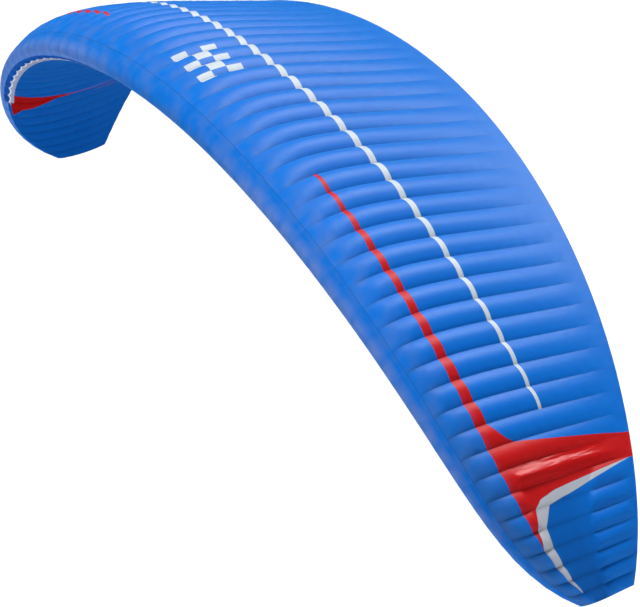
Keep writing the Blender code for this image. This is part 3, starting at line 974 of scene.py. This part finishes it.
make_ribs("rib_cloth_middle", [0], ["rib_middle"])
for side, side_name in ((1, "right"), (-1, "left")):
    for number, (first, last) in enumerate(zip(SECTION_RIBS, SECTION_RIBS[1:]), start=1):
        make_section(number, first, last, side, side_name)
        make_ribs(f"rib_cloth_{side_name}_{number}", [side * rib for rib in range(first + 1, last + 1)],
                  [f"rib_{side_name}_{last:02d}"])


# ---- Stage, light and camera ----
FLOOR_LEVEL = -9.0
FLOOR_RADIUS = 420.0
FLOOR_PALE = (0.97, 0.97, 0.97, 1.0)
FLOOR_SIDES = 64
DOME_SIDES, DOME_RINGS = 48, 9
WORLD_STRENGTH = 0.24
CAMERA_PLACE = (33.233, -12.248, 15.394)
CAMERA_TURN_DEG = (69.08, -25.95, -9.363)  # yaw, pitch and roll
CAMERA_LENS_MM, CAMERA_SENSOR_MM = 267.9, 36.0
CAMERA_CLIP = (0.5, 2000.0)
WHITE_LIGHT, NO_LIGHT = (1.0, 1.0, 1.0, 1.0), (0.0, 0.0, 0.0, 1.0)


def make_floor():
    """A plain pale floor, out of sight of reflections."""
    mesh = bpy.data.meshes.new("floor")
    ring = [(FLOOR_RADIUS * math.cos(t), FLOOR_RADIUS * math.sin(t), FLOOR_LEVEL)
            for t in np.linspace(0, 2 * math.pi, FLOOR_SIDES, endpoint=False)]
    mesh.from_pydata(ring, [], [list(range(FLOOR_SIDES))])
    mesh.update()
    graph = Graph("floor")
    graph.give("Base Color", FLOOR_PALE)
    graph.give("Roughness", 0.9)
    graph.give("Specular IOR Level", 0.0)
    mesh.materials.append(graph.material)
    floor = bpy.data.objects.new("floor", mesh)
    floor.visible_glossy = False
    bpy.context.scene.collection.objects.link(floor)


def make_backdrop():
    """A pale dome that only the camera sees, so that the floor has no dark horizon."""
    mesh = bpy.data.meshes.new("backdrop")
    turns = np.linspace(0, 2 * math.pi, DOME_SIDES, endpoint=False)
    rises = np.linspace(0, math.pi / 2, DOME_RINGS + 1)[:-1]
    points = [(FLOOR_RADIUS * math.cos(t) * math.cos(r), FLOOR_RADIUS * math.sin(t) * math.cos(r),
               FLOOR_LEVEL + FLOOR_RADIUS * math.sin(r)) for r in rises for t in turns]
    sides = [(k, (k + 1) % DOME_SIDES) for k in range(DOME_SIDES)]
    faces = []
    for ring in range(DOME_RINGS - 1):
        low, high = ring * DOME_SIDES, (ring + 1) * DOME_SIDES
        faces += [(low + a, low + b, high + b, high + a) for a, b in sides]
    top = len(points)
    points.append((0.0, 0.0, FLOOR_LEVEL + FLOOR_RADIUS))
    faces += [(top - DOME_SIDES + a, top - DOME_SIDES + b, top) for a, b in sides]
    mesh.from_pydata(points, [], faces)
    mesh.update()
    graph = Graph("backdrop")
    graph.give("Base Color", NO_LIGHT)
    graph.give("Specular IOR Level", 0.0)
    graph.give("Emission Color", WHITE_LIGHT)
    graph.give("Emission Strength", 1.0)
    mesh.materials.append(graph.material)
    backdrop = bpy.data.objects.new("backdrop", mesh)
    bpy.context.scene.collection.objects.link(backdrop)
    backdrop.visible_diffuse = backdrop.visible_glossy = False
    backdrop.visible_transmission = backdrop.visible_shadow = False


def make_sun(name, towards, strength, spread_deg, gloss_only=False):
    """A distant soft lamp that shines from a direction, given as a vector towards the lamp."""
    data = bpy.data.lights.new(name, "SUN")
    data.energy = strength
    data.angle = math.radians(spread_deg)
    lamp = bpy.data.objects.new(name, data)
    lamp.rotation_mode = "QUATERNION"
    lamp.rotation_quaternion = Vector(towards).to_track_quat("Z", "Y")
    lamp.visible_diffuse = not gloss_only
    bpy.context.scene.collection.objects.link(lamp)


def make_camera():
    """The photograph's camera: far away with a long lens, above the right tip and a little ahead."""
    yaw, pitch, roll = (math.radians(angle) for angle in CAMERA_TURN_DEG)
    ahead = Vector((-math.sin(yaw) * math.cos(pitch), math.cos(yaw) * math.cos(pitch), math.sin(pitch)))
    right = Vector((math.cos(yaw), math.sin(yaw), 0.0))
    up = right.cross(ahead)
    turned_right = right * math.cos(roll) + up * math.sin(roll)
    turned_up = up * math.cos(roll) - right * math.sin(roll)
    data = bpy.data.cameras.new("camera")
    data.lens = CAMERA_LENS_MM
    data.sensor_width = CAMERA_SENSOR_MM
    data.clip_start, data.clip_end = CAMERA_CLIP
    camera = bpy.data.objects.new("camera", data)
    columns = Matrix((turned_right, turned_up, -ahead)).transposed()
    camera.matrix_world = Matrix.Translation(CAMERA_PLACE) @ columns.to_4x4()
    bpy.context.scene.collection.objects.link(camera)
    bpy.context.scene.camera = camera


def make_world():
    """Even white light from all sides, out of sight of reflections."""
    world = bpy.data.worlds.new("studio")
    world.use_nodes = True
    background = world.node_tree.nodes["Background"]
    background.inputs["Color"].default_value = WHITE_LIGHT
    background.inputs["Strength"].default_value = WORLD_STRENGTH
    bpy.context.scene.world = world
    world.cycles_visibility.glossy = False


make_floor()
make_backdrop()
make_world()
make_sun("key", towards=(-0.26, 0.10, 0.96), strength=2.75, spread_deg=14)
make_sun("rim", towards=(-0.41, 0.505, 0.758), strength=3.9, spread_deg=32, gloss_only=True)
make_sun("front_fill", towards=(0.0, -0.90, 0.42), strength=0.6, spread_deg=40)
make_camera()
bpy.context.scene.view_settings.view_transform = "Standard"
